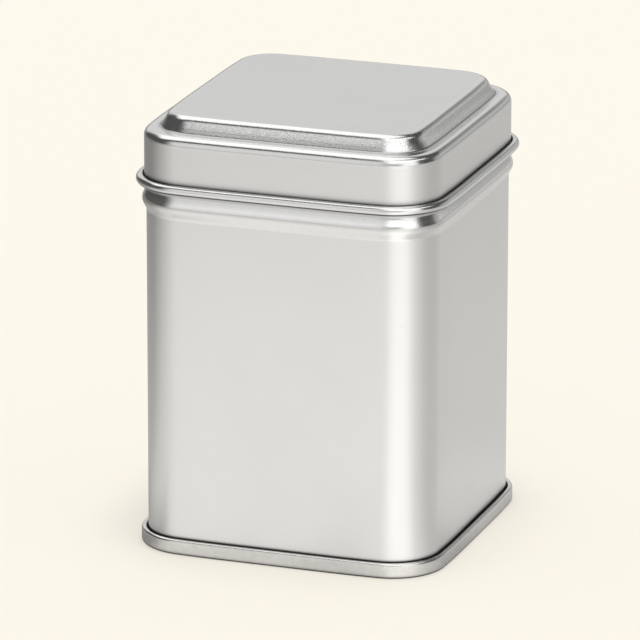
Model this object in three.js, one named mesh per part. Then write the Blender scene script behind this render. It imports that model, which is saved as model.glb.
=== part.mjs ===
// Square tinplate tea tin: a wrapped body wall, a base plate folded onto its foot, and a slip-on lid.
// Millimetres, +Z up. The origin is the middle of the face that the tin stands on.
//
// Each piece is one bent sheet. Its middle line is drawn in a section through a side of the tin as
// points [offset, height]: offset is measured outwards from the outside of the body wall. Bend radii
// are measured to the middle of the sheet. The section is then carried round the square plan.
import * as THREE from 'three';

// Driving dimensions
const bodyWidth = 70; // across the flats of the body wall, outside
const cornerRadius = 12.5; // of the body wall's upright corners, outside
const mouthHeight = 97.45; // top of the rolled mouth above the stand face
const sheet = 0.28; // thickness of the tinplate

// Base seam
const seamHeight = 3.6; // of the folded rim above the stand face
const seamGap = 0.24; // between the folded layers
const footBend = 0.5; // the bends on either side of the stand face
const panelRise = 4.2; // underside of the sunk base panel above the stand face
const panelBend = 0.8; // bend from the base panel into its wall

// Bead under the lid
const beadDrop = 16.05; // crest of the bead below the mouth
const beadProud = 0.95; // crest of the bead beyond the wall
const beadBend = 2.86;
const beadBlendBend = 1.64; // hollow bends above and below the bead

// Lock seam up the middle of the rear wall
const lockWidth = 5;
const lockLayers = 3; // folded layers behind the wall
const lockRamp = 0.4; // length of the slopes at the edges of the folded layers
const lockEndGap = 3; // from the ends of the lock to the base rim and to the bead
const lockLineWidth = 0.5; // the line that the fold leaves outside
const lockLineDepth = 0.14;

// Lid
const lidClearance = 0.17; // between the lid and the body wall, and over the rolled mouth
const skirtLength = 11.9; // from the top of the shoulder to the middle of the curl
const shoulderBend = 1.86;
const stepInset = 3.4; // from the skirt in to the foot of the step
const stepHeight = 3.7; // from the shoulder up to the raised panel
const stepLean = 30; // degrees from upright
const stepFootBend = 0.9;
const stepTopBend = 1.2;
const lidCurlBend = 0.94;
const lidCurlSweep = 290; // degrees

// Fineness of the round stretches
const cornerSteps = 6; // along each upright corner
const bendStep = 30; // degrees along a bend

const halfSheet = sheet / 2;
const axisOffset = -bodyWidth / 2; // the offset of the tin's own axis
const layerPitch = sheet + seamGap; // from one folded layer to the next
const wallOffset = -halfSheet;

const radians = THREE.MathUtils.degToRad;

// Points of an arc, both ends included. The steps are even in number, so that one lies at its crest.
function arc(centre, radius, from, to) {
  const steps = 2 * Math.ceil(Math.abs(to - from) / bendStep / 2);
  return Array.from({ length: steps + 1 }, (_, step) => {
    const angle = radians(from + ((to - from) * step) / steps);
    return [centre[0] + radius * Math.cos(angle), centre[1] + radius * Math.sin(angle)];
  });
}

// A bend of the given radius round the corner between the straights that lead to before and after
function bend(before, corner, after, radius) {
  const at = new THREE.Vector2(...corner);
  const back = new THREE.Vector2(...before).sub(at).normalize();
  const ahead = new THREE.Vector2(...after).sub(at).normalize();
  const halfAngle = Math.acos(back.dot(ahead)) / 2;
  const middle = back.clone().add(ahead).normalize();
  const centre = at.clone().addScaledVector(middle, radius / Math.sin(halfAngle));
  const side = Math.sign(ahead.cross(back));
  const sweep = 90 - THREE.MathUtils.radToDeg(halfAngle);
  const facing = THREE.MathUtils.radToDeg(middle.clone().negate().angle());
  return arc(centre.toArray(), radius, facing - side * sweep, facing + side * sweep);
}

// Closed outline of a sheet, counter-clockwise: along one face of it and back along the other
function sheetOutline(line) {
  const points = line.map(([offset, height]) => new THREE.Vector2(offset, height));
  const headings = points.slice(1).map((point, i) => point.clone().sub(points[i]).normalize());
  const face = (shift) =>
    points.map((point, i) => {
      const before = headings[Math.max(0, i - 1)];
      const after = headings[Math.min(headings.length - 1, i)];
      const along = before.clone().add(after).normalize();
      const right = new THREE.Vector2(along.y, -along.x);
      return point.clone().addScaledVector(right, shift / along.dot(after));
    });
  return [...face(halfSheet), ...face(-halfSheet).reverse()];
}

// The square plan with round corners at an offset from the body wall, counter-clockwise from above.
// Marks are further points [x, shift] on the rear side, in order of falling x, each moved outwards.
function planRing(offset, marks = []) {
  const half = bodyWidth / 2 + offset;
  if (offset === axisOffset) return [[0, 0]];
  const radius = THREE.MathUtils.clamp(cornerRadius + offset, sheet, half);
  const straight = half - radius;
  const corners = [[1, 1], [-1, 1], [-1, -1], [1, -1]].map(([sideX, sideY], quarter) =>
    Array.from({ length: cornerSteps + 1 }, (_, step) => {
      const angle = (quarter + step / cornerSteps) * (Math.PI / 2);
      return [sideX * straight + radius * Math.cos(angle), sideY * straight + radius * Math.sin(angle)];
    }),
  );
  const rear = marks.map(([x, shift]) => [x, half + shift]);
  return [...corners[0], ...rear, ...corners[1], ...corners[2], ...corners[3]];
}

// Carries a section's outline round the plan. A point on the axis closes the sheet across the middle.
function carriedRound(outline, marksAt = () => []) {
  const positions = [];
  const rings = outline.map((point) => {
    const ring = planRing(point.x, marksAt(point));
    const first = positions.length / 3;
    ring.forEach(([x, y]) => positions.push(x, y, point.y));
    return { first, size: ring.length };
  });
  const ringSize = Math.max(...rings.map((ring) => ring.size));
  const vertex = (ring, step) => ring.first + (step % ring.size);
  const faces = [];
  const addFace = (a, b, c) => {
    if (a !== b && b !== c && c !== a) faces.push(a, b, c);
  };
  rings.forEach((ring, i) => {
    const next = rings[(i + 1) % rings.length];
    for (let step = 0; step < ringSize; step += 1) {
      addFace(vertex(ring, step), vertex(ring, step + 1), vertex(next, step + 1));
      addFace(vertex(ring, step), vertex(next, step + 1), vertex(next, step));
    }
  });
  const geometry = new THREE.BufferGeometry();
  geometry.setAttribute('position', new THREE.Float32BufferAttribute(positions, 3));
  geometry.setIndex(faces);
  geometry.computeVertexNormals();
  return geometry;
}

// Double seam: from the inside out its layers are the base's wall, the body wall, the base's hook,
// the body's hook and the base's outer fold.
const baseWallOffset = wallOffset - layerPitch;
const baseHookOffset = wallOffset + layerPitch;
const bodyHookOffset = wallOffset + 2 * layerPitch;
const outerFoldOffset = wallOffset + 3 * layerPitch;
const bodyFoldCentre = [baseHookOffset, halfSheet + 2 * layerPitch];
const baseFoldCentre = [bodyHookOffset, seamHeight - halfSheet - layerPitch];

// The bead and the rolled mouth share the body wall
const beadHeight = mouthHeight - beadDrop;
const beadCentreOffset = beadProud - halfSheet - beadBend;
const blendCentreOffset = wallOffset + beadBlendBend;
const beadAngle = Math.acos((blendCentreOffset - beadCentreOffset) / (beadBend + beadBlendBend));
const blendDrop = (beadBend + beadBlendBend) * Math.sin(beadAngle);
const mouthBend = shoulderBend - lidClearance - sheet; // the roll nests in the lid's shoulder
const mouthCentreHeight = mouthHeight - halfSheet - mouthBend;
const mouthSweep = 300; // degrees
const lockFoot = seamHeight + lockEndGap;
const lockTop = beadHeight - blendDrop - lockEndGap;

function makeBodyWall() {
  const beadDegrees = THREE.MathUtils.radToDeg(beadAngle);
  const line = [
    [bodyHookOffset, seamHeight - sheet - seamGap],
    ...arc(bodyFoldCentre, layerPitch, 0, -180),
    [wallOffset, lockFoot],
    [wallOffset, lockFoot + lockRamp],
    [wallOffset, lockTop - lockRamp],
    [wallOffset, lockTop],
    ...arc([blendCentreOffset, beadHeight - blendDrop], beadBlendBend, 180, 180 - beadDegrees),
    ...arc([beadCentreOffset, beadHeight], beadBend, -beadDegrees, beadDegrees).slice(1, -1),
    ...arc([blendCentreOffset, beadHeight + blendDrop], beadBlendBend, 180 + beadDegrees, 180),
    ...arc([wallOffset - mouthBend, mouthCentreHeight], mouthBend, 0, mouthSweep),
  ];
  const lockEdge = lockWidth / 2;
  const lineEdge = lockLineWidth / 2;
  const lockMarks = (point) => {
    const inLock = point.y > lockFoot && point.y < lockTop;
    const lockRise = inLock && point.x < wallOffset ? -lockLayers * sheet : 0;
    const lineDepth = inLock && point.x > wallOffset ? -lockLineDepth : 0;
    return [
      [lockEdge + lockRamp, 0],
      [lockEdge, lockRise],
      [lineEdge, lockRise],
      [0, lockRise + lineDepth],
      [-lineEdge, lockRise],
      [-lockEdge, lockRise],
      [-lockEdge - lockRamp, 0],
    ];
  };
  return carriedRound(sheetOutline(line), lockMarks);
}

function makeBasePlate() {
  const panel = [axisOffset, panelRise + halfSheet];
  const panelCorner = [baseWallOffset, panelRise + halfSheet];
  const innerFoot = [baseWallOffset, halfSheet];
  const outerFoot = [outerFoldOffset, halfSheet];
  const line = [
    panel,
    ...bend(panel, panelCorner, innerFoot, panelBend),
    ...bend(panelCorner, innerFoot, outerFoot, footBend),
    ...bend(innerFoot, outerFoot, baseFoldCentre.with(0, outerFoldOffset), footBend),
    ...arc(baseFoldCentre, layerPitch, 0, 180),
    [baseHookOffset, bodyFoldCentre[1] - layerPitch + halfSheet + seamGap],
  ];
  return carriedRound(sheetOutline(line));
}

// The lid's heights are counted from the middle of its shoulder bend, which lies over the mouth's roll
function makeLid() {
  const skirtOffset = lidClearance + halfSheet;
  const stepFootOffset = skirtOffset - stepInset;
  const stepTopOffset = stepFootOffset - stepHeight * Math.tan(radians(stepLean));
  const curlHeight = shoulderBend + halfSheet - skirtLength;
  const panel = [axisOffset, shoulderBend + stepHeight];
  const stepTop = [stepTopOffset, shoulderBend + stepHeight];
  const stepFoot = [stepFootOffset, shoulderBend];
  const shoulder = [skirtOffset, shoulderBend];
  const skirtFoot = [skirtOffset, curlHeight];
  const line = [
    panel,
    ...bend(panel, stepTop, stepFoot, stepTopBend),
    ...bend(stepTop, stepFoot, shoulder, stepFootBend),
    ...bend(stepFoot, shoulder, skirtFoot, shoulderBend),
    ...arc([skirtOffset + lidCurlBend, curlHeight], lidCurlBend, 180, 180 + lidCurlSweep),
  ];
  return carriedRound(sheetOutline(line));
}

const tinplate = { metalness: 1, roughness: 0.36 };

function piece(name, geometry, color) {
  const mesh = new THREE.Mesh(geometry, new THREE.MeshStandardMaterial({ ...tinplate, color }));
  mesh.name = name;
  return mesh;
}

const tin = new THREE.Group();
const lid = piece('lid', makeLid(), 0xcfcfcd);
lid.position.z = mouthCentreHeight;
tin.add(piece('body_wall', makeBodyWall(), 0xdad9d5), piece('base_plate', makeBasePlate(), 0xcecdc9), lid);

export default tin;
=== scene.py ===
import math

import bpy
import numpy as np
from mathutils import Matrix, Vector


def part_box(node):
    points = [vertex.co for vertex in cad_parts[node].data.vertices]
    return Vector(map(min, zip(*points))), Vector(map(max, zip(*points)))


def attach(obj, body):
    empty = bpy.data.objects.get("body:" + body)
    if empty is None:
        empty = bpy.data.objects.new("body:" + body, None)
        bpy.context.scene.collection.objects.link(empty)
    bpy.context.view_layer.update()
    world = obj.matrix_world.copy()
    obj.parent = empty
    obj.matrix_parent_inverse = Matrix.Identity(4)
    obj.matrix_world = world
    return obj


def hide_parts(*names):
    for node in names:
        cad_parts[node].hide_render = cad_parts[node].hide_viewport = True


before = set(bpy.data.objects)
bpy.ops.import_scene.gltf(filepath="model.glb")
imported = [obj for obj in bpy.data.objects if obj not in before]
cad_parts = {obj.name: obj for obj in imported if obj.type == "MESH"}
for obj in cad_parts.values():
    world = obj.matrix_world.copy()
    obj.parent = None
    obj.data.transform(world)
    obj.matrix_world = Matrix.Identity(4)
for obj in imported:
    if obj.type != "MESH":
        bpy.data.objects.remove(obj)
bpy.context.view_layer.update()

MM = 0.001
base_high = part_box("base_plate")[1]
lid_low, lid_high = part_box("lid")

# Sheet and plan
sheet = 0.28 * MM
half_sheet = sheet / 2
touching = sheet / 10  # points closer than this are one
corner_radius = 11.2 * MM
inward_tightening = 0.7  # how fast the corner radius falls inside the body wall
panel_roundness = 0.2  # corner radius inside a flat panel, as a share of its half width
side_ease = math.radians(3)  # how far each side has turned inwards where its corners begin
formed_reach = 4 * MM  # the longest straight that is formed together with the bends at its ends

# Fineness
corner_steps = 24
bend_step = 6  # degrees along a bend
straight_step = 2 * MM
least_steps, most_steps = 6, 30  # along a straight
half_side_shares = (0.94, 0.86, 0.77, 0.68, 0.58, 0.5, 0.25)  # points along half of each side
side_shares = (*half_side_shares, 0, *(-share for share in reversed(half_side_shares)))

# Base seam
seam_gap = 0.24 * MM
seam_height = 3.6 * MM
foot_bend = 0.5 * MM
panel_bend = 0.8 * MM
layer_pitch = sheet + seam_gap
half_width = base_high.x - 3 * layer_pitch
base_panel_height = base_high.z - half_sheet
wall_offset = -half_sheet
base_wall_offset = wall_offset - layer_pitch
base_hook_offset = wall_offset + layer_pitch
body_hook_offset = wall_offset + 2 * layer_pitch
outer_fold_offset = wall_offset + 3 * layer_pitch
body_fold_centre = (base_hook_offset, half_sheet + 2 * layer_pitch)
base_fold_centre = (body_hook_offset, seam_height - half_sheet - layer_pitch)

# Lid
lid_clearance = 0.17 * MM
skirt_length = 11.9 * MM
shoulder_bend = 1.86 * MM
step_inset = 3.4 * MM
step_height = 3.7 * MM
step_lean = math.radians(24)  # from upright, in the upper half of the step
step_foot_lean = math.radians(31)  # in its lower half, which sweeps outwards
step_knee_height = 1.9 * MM  # from the shoulder up to where the lean changes
step_knee_bend = 11 * MM
step_foot_bend = 0.9 * MM
step_top_bend = 1.9 * MM
curl_bend = 0.94 * MM
curl_sweep = 290  # degrees
skirt_offset = lid_clearance + half_sheet
step_foot_offset = skirt_offset - step_inset
step_knee_offset = step_foot_offset - step_knee_height * math.tan(step_foot_lean)
step_top_offset = step_knee_offset - (step_height - step_knee_height) * math.tan(step_lean)
panel_height = lid_high.z - half_sheet
shoulder_height = panel_height - step_height
curl_height = shoulder_height + half_sheet - skirt_length

# Bead and rolled mouth of the body wall
bead_drop = 16.05 * MM
bead_proud = 0.95 * MM
bead_tilt = 27  # degrees that its straight flanks lean from upright
bead_bend = 2.3 * MM
bead_blend_bend = 1.43 * MM
mouth_sweep = 300  # degrees
mouth_bend = shoulder_bend - lid_clearance - sheet
mouth_height = shoulder_height - shoulder_bend
bead_height = mouth_height + mouth_bend + half_sheet - bead_drop
bead_centre_offset = bead_proud - half_sheet - bead_bend
blend_centre_offset = wall_offset + bead_blend_bend
bead_sine = math.sin(math.radians(bead_tilt))
bead_cosine = math.cos(math.radians(bead_tilt))
bead_flank = (bead_proud - (bead_bend + bead_blend_bend) * (1 - bead_cosine)) / bead_sine
blend_drop = (bead_bend + bead_blend_bend) * bead_sine + bead_flank * bead_cosine

# Lock seam up the middle of the rear wall
lock_width = 5 * MM
lock_layers = 3
lock_ramp = 0.4 * MM
lock_end_gap = 3 * MM
lock_line_width = 0.5 * MM
lock_line_depth = 0.14 * MM
lock_foot = seam_height + lock_end_gap
lock_top = bead_height - blend_drop - lock_end_gap

# Painted shade in the crevices, under the lid's curl and round the foot, where their shadow falls: how
# strong it is and how far it reaches
painted_shade_strength = 2.8  # at the base rim and round the foot, so that it is full for some way
rim_gap_depth = 0.25 * MM  # the rim hides the wall up to this far below the rim's top
rim_gap = (0, seam_height - rim_gap_depth)
rim_shade_reach = 0.28 * MM
rim_shade_rises = (-0.3, 0, 0.15, 0.3, 0.5, 0.8, 1.4)  # mm above the rim gap, where it is worked out
floor_shade_reach = 0.32 * MM  # round the foot
curl_shade = 0.75  # on the wall at the foot of the lid's curl
curl_shade_drop = 0.8 * MM  # how far it reaches below the curl
curl_shade_rise = 0.3 * MM  # and behind it
curl_shade_rises = (-0.4, -0.2, 0, 0.15, 0.3, 0.6, 1.2)  # mm above the curl's foot, likewise
notch = (skirt_offset + half_sheet, curl_height + curl_bend)  # between the lid's skirt and its curl
notch_shade_reach = 0.5 * MM
under_shade_reach = 0.12 * MM  # under the curl
underside_share = 0.7  # of the curl's bend, from its middle down to where its full shade begins
curl_underside = curl_height - underside_share * curl_bend
crease_shade = 0.8  # at the foot of the lid's step
crease_shade_reach = 0.5 * MM

# Painted highlights on the bead's upper flank and along the base rim's top edge, and painted shade along the
# bead's crest
highlight_rise = 1.1 * MM  # above the bead's crest
highlight_reach = 0.7 * MM
rim_highlight = 1.6
rim_highlight_reach = 0.22 * MM
rim_edge_tilt = math.radians(65)
rim_fold_radius = layer_pitch + half_sheet
rim_edge = (base_fold_centre[0] + rim_fold_radius * math.cos(rim_edge_tilt),
            base_fold_centre[1] + rim_fold_radius * math.sin(rim_edge_tilt))
# Painted shade along the bead's crest
crest_shade = 0.33
crest_shade_reach = 0.5 * MM


def arc(centre, radius, start, end):
    """Stations along an arc, its angles in degrees."""
    steps = max(2, math.ceil(abs(end - start) / bend_step))
    angles = np.radians(np.linspace(start, end, steps + 1))
    headings = angles + math.copysign(math.pi / 2, end - start)
    return np.column_stack((
        centre[0] + radius * np.cos(angles),
        centre[1] + radius * np.sin(angles),
        headings,
        np.ones(steps + 1),
    ))


def bend(before, corner, after, radius):
    """Stations of a bend round the corner between the straights that lead to before and after."""
    at = Vector(corner)
    back = (Vector(before) - at).normalized()
    ahead = (Vector(after) - at).normalized()
    half_angle = back.angle(ahead) / 2
    middle = (back + ahead).normalized()
    centre = at + middle * (radius / math.sin(half_angle))
    facing = math.degrees(math.atan2(-middle.y, -middle.x))
    sweep = math.copysign(90 - math.degrees(half_angle), ahead.x * back.y - ahead.y * back.x)
    return arc(centre, radius, facing - sweep, facing + sweep)


def straight(start, end, steps, tightness):
    """Stations inside the straight from start to end, closest together near its ends."""
    start, end = np.array(start), np.array(end)
    shares = (1 - np.cos(np.linspace(0, math.pi, steps + 1)[1:-1])) / 2
    points = start + shares[:, None] * (end - start)
    heading = math.atan2(end[1] - start[1], end[0] - start[0])
    flat = np.zeros(len(points))
    return np.column_stack((points, flat + heading, flat + tightness))


def joined(*stretches):
    """One line of the stretches, with a straight between each stretch and the next.
    A short straight between two bends is formed with them."""
    line = [stretches[0]]
    for stretch in stretches[1:]:
        start, end = line[-1][-1, :2], stretch[0, :2]
        gap = np.linalg.norm(end - start)
        if gap > touching:
            steps = int(np.clip(gap / straight_step, least_steps, most_steps))
            tightness = min(line[-1][-1, 3], stretch[0, 3]) if gap < formed_reach else 0
            line.append(straight(start, end, steps, tightness))
            line.append(stretch)
        else:
            line.append(stretch[1:])
    return np.vstack(line)


def station(offset, height, heading):
    """A single station on a flat stretch, its heading in degrees."""
    return np.array([[offset, height, math.radians(heading), 0.0]])


def plan_ring(offset, marks):
    """The square plan with round corners at an offset, counter-clockwise from above. Each side is flat
    in its middle half and eases inwards from there to the corners.
    Marks are points (x, shift) of the rear side in order of falling x, each moved outwards by its shift."""
    half = half_width + offset
    tightening = 1 if offset > 0 else inward_tightening
    radius = max(corner_radius + tightening * offset, panel_roundness * half)
    ease_share = math.tan(side_ease) / 4  # depth of the ease as a share of the side's half length
    side_half = (half - radius * (math.cos(side_ease) - math.sin(side_ease))) / (1 + ease_share)
    centre_reach = side_half - radius * math.sin(side_ease)

    def side_reach(along):
        beyond_flat = max(0, 2 * abs(along) / side_half - 1)
        return half - side_half * ease_share * beyond_flat**2

    ring = []
    for quarter in range(4):
        along = Vector((math.cos(quarter * math.pi / 2), math.sin(quarter * math.pi / 2)))
        across = Vector((-along.y, along.x))
        centre = (along + across) * centre_reach
        for step in range(corner_steps + 1):
            angle = side_ease + step / corner_steps * (math.pi / 2 - 2 * side_ease)
            ring.append(centre + radius * (math.cos(angle) * along + math.sin(angle) * across))
        if quarter == 0 and marks:
            ring += [Vector((x, side_reach(x) + shift)) for x, shift in marks]
        else:
            places = [share * side_half for share in side_shares]
            ring += [across * side_reach(place) + along * place for place in places]
    return ring


def lock_marks(offset, height):
    """Where the rear wall is moved by the lock seam: a folded strip inside and a fine line outside."""
    within = lock_foot + lock_ramp / 2 < height < lock_top - lock_ramp / 2
    strip = -lock_layers * sheet if within and offset < wall_offset else 0
    line = -lock_line_depth if within and offset > wall_offset else 0
    edge, line_edge = lock_width / 2, lock_line_width / 2
    straight_half = half_width - corner_radius
    plain = [(share * straight_half, 0) for share in half_side_shares]
    one_side = [*plain, (edge + lock_ramp, 0), (edge, strip), (line_edge, strip)]
    other_side = [(-x, shift) for x, shift in reversed(one_side)]
    return [*one_side, (0, strip + line), *other_side]


def fade(distance, reach):
    """1 at no distance, falling away over the reach on both sides."""
    return math.exp(-abs(distance) / reach)


def none_at(offset, height):
    return 0


def no_marks(offset, height):
    return ()


def ring_faces(rings):
    """Faces between each ring of points and the next, and from the last ring back to the first."""
    ring_size = max(len(ring) for ring in rings)
    faces = []
    for ring, following in zip(rings, rings[1:] + rings[:1]):
        for step in range(ring_size):
            corners = [ring[step % len(ring)], ring[(step + 1) % len(ring)],
                       following[(step + 1) % len(following)], following[step % len(following)]]
            corners = list(dict.fromkeys(corners))
            if len(corners) > 2:
                faces.append(corners)
    return faces


def carried_round(name, line, painted_shade_at, drawn_at=none_at, painted_highlight_at=none_at, marks_at=no_marks):
    """A mesh object of the sheet whose middle line is given. A station on the tin's axis closes the sheet.
    Its points carry how much they are formed by bending, how much shade is painted on them, how far the
    sheet was drawn out there, and how much highlight is painted on them."""
    right = np.column_stack((np.sin(line[:, 2]), -np.cos(line[:, 2]))) * half_sheet
    outline = np.vstack((line[:, :2] + right, (line[:, :2] - right)[::-1]))
    bent = np.concatenate((line[:, 3], line[::-1, 3]))
    vertices, rings = [], []
    values = {"formed": [], "painted_shade": [], "drawn": [], "painted_highlight": []}
    sharp_vertices = set()
    for (offset, height), tightness in zip(outline.tolist(), bent.tolist()):
        on_axis = half_width + offset < touching
        marks = marks_at(offset, height)
        ring = [Vector((0, 0))] if on_axis else plan_ring(offset, marks)
        if marks:
            middle_mark = corner_steps + 1 + len(marks) // 2
            sharp_vertices.add(len(vertices) + middle_mark)
        rings.append(range(len(vertices), len(vertices) + len(ring)))
        vertices += [(point.x, point.y, height) for point in ring]
        values["formed"] += [tightness] * len(ring)
        values["painted_shade"] += [min(1, painted_shade_at(offset, height))] * len(ring)
        values["drawn"] += [drawn_at(offset, height)] * len(ring)
        values["painted_highlight"] += [painted_highlight_at(offset, height)] * len(ring)
    mesh = bpy.data.meshes.new(name)
    mesh.from_pydata(vertices, [], ring_faces(rings))
    for value_name, numbers in values.items():
        mesh.attributes.new(value_name, "FLOAT", "POINT").data.foreach_set("value", numbers)
    mesh.shade_smooth()
    cut_rings = [rings[i] for i in (0, len(line) - 1, len(line), -1) if len(rings[i]) > 1]
    sharp_vertices.update(vertex for ring in cut_rings for vertex in ring)
    sharp = [all(vertex in sharp_vertices for vertex in edge.vertices) for edge in mesh.edges]
    mesh.attributes.new("sharp_edge", "BOOLEAN", "EDGE").data.foreach_set("value", sharp)
    piece = bpy.data.objects.new(name, mesh)
    bpy.context.scene.collection.objects.link(piece)
    weighted = piece.modifiers.new("even_flats", "WEIGHTED_NORMAL")
    weighted.keep_sharp = True
    return piece


def body_wall():
    line = joined(
        station(body_hook_offset, seam_height - sheet - seam_gap, -90),
        arc(body_fold_centre, layer_pitch, 0, -180),
        *(station(wall_offset, rim_gap[1] + rise * MM, 90) for rise in rim_shade_rises),
        station(wall_offset, lock_foot, 90),
        station(wall_offset, lock_foot + lock_ramp, 90),
        station(wall_offset, lock_top - lock_ramp, 90),
        station(wall_offset, lock_top, 90),
        arc((blend_centre_offset, bead_height - blend_drop), bead_blend_bend, 180, 180 - bead_tilt),
        arc((bead_centre_offset, bead_height), bead_bend, -bead_tilt, bead_tilt),
        arc((blend_centre_offset, bead_height + blend_drop), bead_blend_bend, 180 + bead_tilt, 180),
        *(station(wall_offset, lid_low.z + rise * MM, 90) for rise in curl_shade_rises),
        arc((wall_offset - mouth_bend, mouth_height), mouth_bend, 0, mouth_sweep),
    )

    # Painted shade at the gap above the base rim, at the foot of the lid's curl, and along the bead's crest
    def painted_shade(offset, height):
        if offset < wall_offset:
            return 0
        under_lid = lid_low.z - height
        at_curl = fade(under_lid, curl_shade_drop if under_lid > 0 else curl_shade_rise)
        at_rim = fade(math.dist((offset, height), rim_gap), rim_shade_reach)
        at_crest = crest_shade * fade(height - bead_height, crest_shade_reach)
        return painted_shade_strength * at_rim + curl_shade * at_curl + at_crest

    # Painted highlight on the bead's upper flank
    def painted_highlight(offset, height):
        return fade(height - bead_height - highlight_rise, highlight_reach) if offset > wall_offset else 0

    return carried_round("tin_body_wall", line, painted_shade, painted_highlight_at=painted_highlight, marks_at=lock_marks)


def base_plate():
    panel = (-half_width, base_panel_height)
    panel_corner = (base_wall_offset, base_panel_height)
    inner_foot = (base_wall_offset, half_sheet)
    outer_foot = (outer_fold_offset, half_sheet)
    line = joined(
        station(*panel, 0),
        bend(panel, panel_corner, inner_foot, panel_bend),
        bend(panel_corner, inner_foot, outer_foot, foot_bend),
        bend(inner_foot, outer_foot, (outer_fold_offset, base_fold_centre[1]), foot_bend),
        arc(base_fold_centre, layer_pitch, 0, 180),
        station(base_hook_offset, body_fold_centre[1] - layer_pitch + half_sheet + seam_gap, -90),
    )

    # Painted shade at the gap between the rim and the wall, and in a dark line round the foot
    def painted_shade(offset, height):
        at_wall = fade(math.dist((offset, height), rim_gap), rim_shade_reach)
        return at_wall + painted_shade_strength * fade(height, floor_shade_reach)

    # Painted highlight along the rim's top edge
    def painted_highlight(offset, height):
        return rim_highlight * fade(math.dist((offset, height), rim_edge), rim_highlight_reach)

    return carried_round("tin_base_plate", line, painted_shade, painted_highlight_at=painted_highlight)


def lid():
    panel = (-half_width, panel_height)
    step_top = (step_top_offset, panel_height)
    step_knee = (step_knee_offset, shoulder_height + step_knee_height)
    step_foot = (step_foot_offset, shoulder_height)
    shoulder = (skirt_offset, shoulder_height)
    skirt_foot = (skirt_offset, curl_height)
    line = joined(
        station(*panel, 0),
        bend(panel, step_top, step_knee, step_top_bend),
        bend(step_top, step_knee, step_foot, step_knee_bend),
        bend(step_knee, step_foot, shoulder, step_foot_bend),
        bend(step_foot, shoulder, skirt_foot, shoulder_bend),
        arc((skirt_offset + curl_bend, curl_height), curl_bend, 180, 180 + curl_sweep),
    )

    # Painted shade in the notch between skirt and curl, at the foot of the step, and under the curl
    def painted_shade(offset, height):
        at_notch = fade(math.dist((offset, height), notch), notch_shade_reach)
        at_crease = crease_shade * fade(math.dist((offset, height), step_foot), crease_shade_reach)
        above_underside = max(0, height - curl_underside)
        under_curl = fade(above_underside, under_shade_reach) if offset > skirt_offset else 0
        return at_notch + at_crease + under_curl

    def drawn(offset, height):
        """1 halfway up the step, 0 at its foot and at its top."""
        share = min(1, max(0, (height - shoulder_height) / step_height))
        return 4 * share * (1 - share)

    return carried_round("tin_lid", line, painted_shade, drawn)


def feed(tree, sockets, values):
    """Sets each socket to its value, or links it where the value is the output of another node."""
    for socket, value in zip(sockets, values):
        if isinstance(value, bpy.types.NodeSocket):
            tree.links.new(value, socket)
        else:
            socket.default_value = value


def calc(tree, operation, *values):
    node = tree.nodes.new("ShaderNodeMath")
    node.operation = operation
    feed(tree, node.inputs, values)
    return node.outputs[0]


def vector_calc(tree, operation, *values):
    node = tree.nodes.new("ShaderNodeVectorMath")
    node.operation = operation
    feed(tree, node.inputs, values)
    return node.outputs["Value" if operation in ("DOT_PRODUCT", "LENGTH") else "Vector"]


def scaled(tree, vector, factor):
    node = tree.nodes.new("ShaderNodeVectorMath")
    node.operation = "SCALE"
    feed(tree, (node.inputs["Vector"], node.inputs["Scale"]), (vector, factor))
    return node.outputs["Vector"]


def ramp(tree, value, low, high, at_low, at_high):
    """A smooth step from at_low to at_high while the value goes from low to high."""
    node = tree.nodes.new("ShaderNodeMapRange")
    node.interpolation_type = "SMOOTHSTEP"
    feed(tree, node.inputs, (value, low, high, at_low, at_high))
    return node.outputs["Result"]


def mix(tree, share, first, second):
    node = tree.nodes.new("ShaderNodeMix")
    feed(tree, (node.inputs["Factor"], node.inputs["A"], node.inputs["B"]), (share, first, second))
    return node.outputs["Result"]


def noise(tree, place, size, detail=2):
    """Noise of about the given size in metres, from 0 to 1."""
    node = tree.nodes.new("ShaderNodeTexNoise")
    tree.links.new(place, node.inputs["Vector"])
    node.inputs["Scale"].default_value = 1 / size
    node.inputs["Detail"].default_value = detail
    return node.outputs["Fac"]


def centred(tree, level):
    """A level from 0 to 1, moved to lie from -0.5 to 0.5."""
    return calc(tree, "SUBTRACT", level, 0.5)


def attribute(tree, name):
    node = tree.nodes.new("ShaderNodeAttribute")
    node.attribute_name = name
    return node.outputs["Fac"]


# Tinplate: the sizes of its patterns
cloud_size = 14 * MM
streak_size = 0.9 * MM
grain_size = 0.22 * MM
peel_size = 0.3 * MM
speck_size = 1.1 * MM
blotch_size = 1.6 * MM
fleck_size = 0.22 * MM
speck_begin, speck_full = 0.76, 0.8  # levels of the noise at which a speck begins and is full

# How much of the colour is left, and how much each pattern adds to that
plain_shade = 0.963
cloud_shade = 0.06
streak_shade = 0.015
speck_shade = -0.05
fleck_shade = 1.1
# how much the painted highlight adds
painted_highlight_strength = 0.2
darkest_painted_shade = 0.1  # all that is left of it in a full crevice

# Roughness of the flats, and how much each pattern adds to it
satin = 0.3
cloud_roughness = 0.06
streak_roughness = 0.03
painted_shade_roughness = 0.2

# Relief
grain_depth = 0.0004 * MM
flat_peel_depth = 0.001 * MM
formed_peel_depth = 0.012 * MM
drawn_peel_depth = 0.025 * MM


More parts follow.
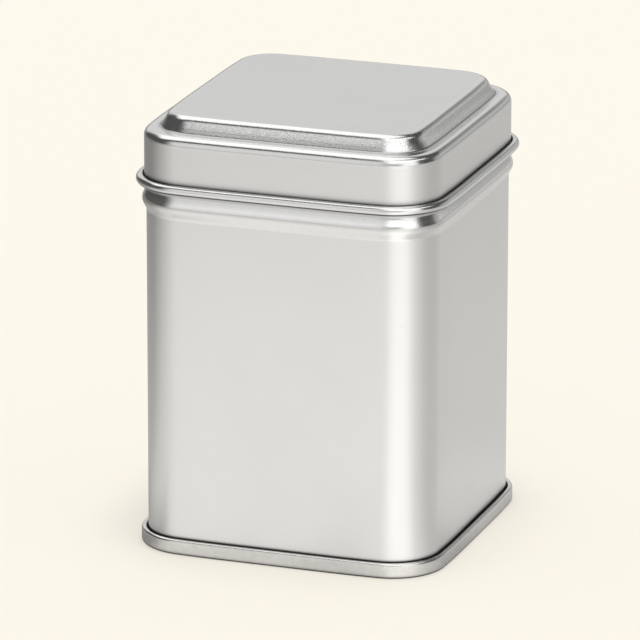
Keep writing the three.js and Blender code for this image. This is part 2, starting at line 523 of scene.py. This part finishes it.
def tinplate(name, colour, rolled, polished, worn):
    """Satin tinplate. Rolled shrinks the grain's coordinates along the way that the sheet was rolled,
    polished is the roughness where it is bent, and worn is how much it is blotched there."""
    material = bpy.data.materials.new(name)
    material.use_nodes = True
    tree = material.node_tree
    shader = tree.nodes["Principled BSDF"]
    shader.inputs["Metallic"].default_value = 1
    place = tree.nodes.new("ShaderNodeTexCoord").outputs["Object"]
    rolled_place = vector_calc(tree, "MULTIPLY", place, rolled)
    formed = attribute(tree, "formed")
    painted_shade = attribute(tree, "painted_shade")
    drawn = attribute(tree, "drawn")
    painted_highlight = attribute(tree, "painted_highlight")
    cloud = noise(tree, place, cloud_size, detail=3)
    streak = noise(tree, rolled_place, streak_size, detail=3)

    # Colour: cloudy, streaky and specked, blotched where it is formed, flecked where it is drawn,
    # with painted highlights, and painted shade in the crevices and under the lid's curl
    speck = ramp(tree, noise(tree, place, speck_size, detail=1), speck_begin, speck_full, 0, 1)
    blotch = calc(tree, "MULTIPLY", centred(tree, noise(tree, place, blotch_size)), formed)
    fleck = calc(tree, "MULTIPLY", centred(tree, noise(tree, place, fleck_size, detail=1)), drawn)
    shade = plain_shade
    for pattern, strength in (
        (cloud, cloud_shade),
        (streak, streak_shade),
        (speck, speck_shade),
        (blotch, worn),
        (fleck, fleck_shade),
        # painted highlight
        (painted_highlight, painted_highlight_strength),
    ):
        shade = calc(tree, "MULTIPLY_ADD", pattern, strength, shade)
    # Painted shade in the crevices, under the lid's curl and round the foot
    shade = calc(tree, "MULTIPLY", shade, ramp(tree, painted_shade, 0, 1, 1, darkest_painted_shade))
    tree.links.new(scaled(tree, colour, shade), shader.inputs["Base Color"])

    # Gloss: satin on the flats, brighter where the bends have polished it
    roughness = mix(tree, formed, satin, polished)
    for pattern, strength in (
        (centred(tree, cloud), cloud_roughness),
        (centred(tree, streak), streak_roughness),
        (painted_shade, painted_shade_roughness),
    ):
        roughness = calc(tree, "MULTIPLY_ADD", pattern, strength, roughness)
    tree.links.new(roughness, shader.inputs["Roughness"])

    # Relief: rolled grain, and the orange peel that forming leaves
    bent_peel_depth = mix(tree, formed, flat_peel_depth, formed_peel_depth)
    peel_depth = mix(tree, drawn, bent_peel_depth, drawn_peel_depth)
    peel = calc(tree, "MULTIPLY", noise(tree, place, peel_size, detail=1), peel_depth)
    relief = calc(tree, "MULTIPLY_ADD", noise(tree, rolled_place, grain_size), grain_depth, peel)
    bump = tree.nodes.new("ShaderNodeBump")
    bump.inputs["Distance"].default_value = 1
    tree.links.new(relief, bump.inputs["Height"])
    tree.links.new(bump.outputs["Normal"], shader.inputs["Normal"])
    return material


# The pieces, with their colours, ways of rolling, roughness where they are bent, and wear
body_colour = (0.826, 0.82, 0.806)
# Darker than the body's, which paints in part of the shade on the base rim
base_colour = (0.71, 0.697, 0.673)
lid_colour = (0.789, 0.785, 0.775)
grain_shrink = 0.05
along_x = (grain_shrink, 1, 1)
round_wall = (grain_shrink, grain_shrink, 1)
bright_bends, dull_bends = 0.17, 0.24
light_wear, rim_wear = 0.08, 0.2
for make, node, body, slot, colour, rolled, polished, worn in (
    (body_wall, "body_wall", "tin_body", "body_tinplate", body_colour, round_wall, bright_bends, light_wear),
    (base_plate, "base_plate", "tin_body", "base_tinplate", base_colour, along_x, dull_bends, rim_wear),
    (lid, "lid", "lid", "lid_tinplate", lid_colour, along_x, bright_bends, light_wear),
):
    piece = make()
    piece.data.materials.append(tinplate(slot, colour, rolled, polished, worn))
    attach(piece, body)
    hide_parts(node)


def direction(azimuth, elevation):
    """The way towards an azimuth, counted from the front to the right, and an elevation, in degrees."""
    turn, rise = math.radians(azimuth), math.radians(elevation)
    return Vector((math.sin(turn) * math.cos(rise), -math.cos(turn) * math.cos(rise), math.sin(rise)))


def first_mirror_ray(tree):
    """1 for what the metal mirrors straight to the viewer, 0 for all else.
    The ray is unspread until its first diffuse bounce."""
    path = tree.nodes.new("ShaderNodeLightPath")
    unspread = calc(tree, "LESS_THAN", path.outputs["Diffuse Depth"], 0.5)
    return calc(tree, "MULTIPLY", path.outputs["Is Glossy Ray"], unspread)


# Floor: cream paper, its colour painted whiter where the metal mirrors it
floor_half = 3
cream = (0.991, 0.947, 0.847)
mirrored_cream = (1, 0.991, 0.966)
paper_glow = 0.6  # share of the paper's colour that it gives off itself as a glow, the rest lit by the dome

# Shadow close round the tin, painted into the floor's colour from how much open sky each place has, on top
# of the dome's own shadow
contact_reach = 25 * MM
contact_full = 0.5  # share of open sky at which it is full
lit_contact, unlit_contact = 0.06, 0.2  # how dark it is on the key's side and on the other
contact_azimuth = 45  # of the key's side
contact_turn = 0.7  # it changes from one to the other between this cosine to that azimuth and its negative

# How bright the floor's colour is painted where the metal mirrors it, close to the tin and far off
near_level, far_level = 0.68, 0.58
level_near, level_far = 100 * MM, 500 * MM

# Patches of painted light, or of painted shade, in the floor's colour where the metal mirrors it: the point
# that they spread out from, azimuth, half their width in degrees, light added, and their fade: two
# distances from the tin's axis, and the shares of the light at them
tin_axis = Vector((0, 0, 0))
corner_centre = Vector((1, -1, 0)) * (half_width - corner_radius)
everywhere = (0, 1, 1, 1)
floor_patches = (
    (tin_axis, -95, 72.5, -0.36, (-250 * MM, 400 * MM, 0, 1)),  # shade on the left, deeper far off
    (tin_axis, -38, 51.7, 0.27, (300 * MM, 650 * MM, 1, 0)),  # in front, on the left
    (tin_axis, 12, 25.8, 0.14, (60 * MM, 250 * MM, 1, 0)),  # close in front
    (tin_axis, 122, 41.4, 0.08, (60 * MM, 100 * MM, 1, 0)),  # close on the right
    (corner_centre, 33, 60, 0.22, everywhere),  # before the corner
    (corner_centre, 33, 32.9, 0.34, everywhere),  # the bright middle of that
    (corner_centre, 118, 34.9, -0.08, everywhere),  # shade beside the corner
)

# Painted shade on the mirrored floor close beside the tin: azimuth of the side, how much farther aside
# than ahead of the tin's axis a point lies where the shade begins and where it is full, its depth, and how
# far aside it is still full and has ended
near_shades = (
    (-90, -6 * MM, 5 * MM, 0.4, 42 * MM, 80 * MM),
    (-90, -12 * MM, 1 * MM, 0.32, 39 * MM, 46 * MM),
    (90, -6 * MM, 5 * MM, 0.15, 38 * MM, 41 * MM),
)


def mirrored_level(tree, place):
    """How bright the floor's colour is painted at a place, as the metal mirrors it."""
    reach = vector_calc(tree, "LENGTH", place)
    level = ramp(tree, reach, level_near, level_far, near_level, far_level)
    for centre, azimuth, half_angle, light, distance_fade in floor_patches:
        outwards = vector_calc(tree, "NORMALIZE", vector_calc(tree, "SUBTRACT", place, centre))
        towards = vector_calc(tree, "DOT_PRODUCT", outwards, direction(azimuth, 0))
        patch = ramp(tree, towards, math.cos(math.radians(half_angle)), 1, 0, light)
        level = calc(tree, "MULTIPLY_ADD", patch, ramp(tree, reach, *distance_fade), level)
    ahead = calc(tree, "ABSOLUTE", vector_calc(tree, "DOT_PRODUCT", place, direction(0, 0)))
    for azimuth, begin, full, depth, near, far in near_shades:
        aside = vector_calc(tree, "DOT_PRODUCT", place, direction(azimuth, 0))
        at_side = ramp(tree, calc(tree, "SUBTRACT", aside, ahead), begin, full, 0, depth)
        shade = calc(tree, "MULTIPLY", at_side, ramp(tree, aside, near, far, 1, 0))
        level = calc(tree, "MULTIPLY", level, calc(tree, "SUBTRACT", 1, shade))
    return level


def contact_level(tree, place):
    """How much of the floor's colour the painted shadow close round the tin leaves."""
    outwards = vector_calc(tree, "NORMALIZE", place)
    lit = vector_calc(tree, "DOT_PRODUCT", outwards, direction(contact_azimuth, 0))
    darkest = ramp(tree, lit, -contact_turn, contact_turn, 1 - unlit_contact, 1 - lit_contact)
    open_sky = tree.nodes.new("ShaderNodeAmbientOcclusion")
    open_sky.inputs["Distance"].default_value = contact_reach
    return ramp(tree, open_sky.outputs["AO"], contact_full, 1, darkest, 1)


def paper():
    material = bpy.data.materials.new("paper")
    material.use_nodes = True
    tree = material.node_tree
    tree.nodes.clear()
    place = tree.nodes.new("ShaderNodeNewGeometry").outputs["Position"]
    mirrored = scaled(tree, mirrored_cream, mirrored_level(tree, place))
    change = scaled(tree, vector_calc(tree, "SUBTRACT", mirrored, cream), first_mirror_ray(tree))
    tint = vector_calc(tree, "ADD", cream, change)
    shaded = scaled(tree, tint, contact_level(tree, place))
    diffuse = tree.nodes.new("ShaderNodeBsdfDiffuse")
    tree.links.new(shaded, diffuse.inputs["Color"])
    glow = tree.nodes.new("ShaderNodeEmission")
    tree.links.new(shaded, glow.inputs["Color"])
    glowing = tree.nodes.new("ShaderNodeMixShader")
    feed(tree, glowing.inputs, (paper_glow, diffuse.outputs[0], glow.outputs[0]))
    output = tree.nodes.new("ShaderNodeOutputMaterial")
    tree.links.new(glowing.outputs[0], output.inputs["Surface"])
    return material


floor_mesh = bpy.data.meshes.new("floor")
floor_corners = [(-floor_half, -floor_half, 0), (floor_half, -floor_half, 0),
                 (floor_half, floor_half, 0), (-floor_half, floor_half, 0)]
floor_mesh.from_pydata(floor_corners, [], [(0, 1, 2, 3)])
floor_mesh.materials.append(paper())
floor = bpy.data.objects.new("floor", floor_mesh)
bpy.context.scene.collection.objects.link(floor)

# Studio: an even dome that lights the floor, and softboxes in a dim room that the metal mirrors
dome_level = 1
bounce_level = 1.2  # of the dome, as the metal mirrors it onto the floor
dim_level = 0.085

# Azimuth from the front, elevation, width, height, half the width of the soft edges at its sides and of
# those above and below, all in degrees, and radiance. A later softbox hides an earlier one.
softboxes = (
    (20, 12, 44, 64, 9, 8, 0.55),  # fill in front
    (38, 50, 58, 44, 9, 6, 1.32),  # key, in front on the right
    (54, 8, 36, 70, 9, 8, 1.2),  # its lower half
    (-22, 10, 38, 68, 14, 7, 0.82),  # reflector in front on the left
    (206, 29, 50, 50, 8, 5, 0.76),  # back wall
    (247, 72, 50, 60, 5, 6, 1.3),  # overhead
    (67, 54, 61, 12, 6, 4, 1.46),  # strip on the right
    (150, 4, 62, 42, 6, 6, 0.39),  # low wall behind on the right
    (158, 11, 50, 8, 6, 3, 0.6),  # bright strip on that wall
)


def studio_world():
    """Lights the scene. The softboxes are only mirrored, so the world isn't sampled as a lamp."""
    world = bpy.data.worlds.new("studio")
    bpy.context.scene.world = world
    world.use_nodes = True
    world.cycles.sampling_method = "NONE"
    tree = world.node_tree
    way = tree.nodes.new("ShaderNodeTexCoord").outputs["Generated"]
    level = dim_level
    for azimuth, elevation, width, height, soft_sides, soft_ends, radiance in softboxes:
        middle, across = direction(azimuth, elevation), direction(azimuth + 90, 0)
        ahead = vector_calc(tree, "DOT_PRODUCT", way, middle)
        inside = 1
        for axis, span, soft in ((across, width, soft_sides), (middle.cross(across), height, soft_ends)):
            aside = calc(tree, "ARCTAN2", vector_calc(tree, "DOT_PRODUCT", way, axis), ahead)
            edge_in, edge_out = math.radians(span / 2 - soft), math.radians(span / 2 + soft)
            covered = ramp(tree, calc(tree, "ABSOLUTE", aside), edge_in, edge_out, 1, 0)
            inside = calc(tree, "MULTIPLY", inside, covered)
        level = mix(tree, inside, level, radiance)
    path = tree.nodes.new("ShaderNodeLightPath")
    even = mix(tree, path.outputs["Is Glossy Ray"], dome_level, bounce_level)
    background = tree.nodes["Background"]
    tree.links.new(mix(tree, first_mirror_ray(tree), even, level), background.inputs["Strength"])
    background.inputs["Color"].default_value = (1, 1, 1, 1)


studio_world()

# Camera, fitted to the photo
camera_azimuth = 19.454  # degrees
camera_elevation = 17.153
camera_roll = 0.067
camera_distance = 1.5095
foot_in_view = (2.08 * MM, -45.7 * MM)  # the tin's foot, right and up of the middle of the view
photo_side = 640  # pixels
focal_pixels = 6540
camera_data = bpy.data.cameras.new("camera")
camera_data.lens = focal_pixels / photo_side * camera_data.sensor_width
camera = bpy.data.objects.new("camera", camera_data)
bpy.context.scene.collection.objects.link(camera)
back = direction(camera_azimuth, camera_elevation)
right = direction(camera_azimuth + 90, 0)
up = back.cross(right)
camera_place = back * camera_distance - right * foot_in_view[0] - up * foot_in_view[1]
camera_axes = Matrix((right, up, back)).transposed().to_4x4()
roll = Matrix.Rotation(math.radians(camera_roll), 4, "Z")
camera.matrix_world = Matrix.Translation(camera_place) @ camera_axes @ roll
bpy.context.scene.camera = camera

bpy.context.scene.view_settings.view_transform = "Standard"
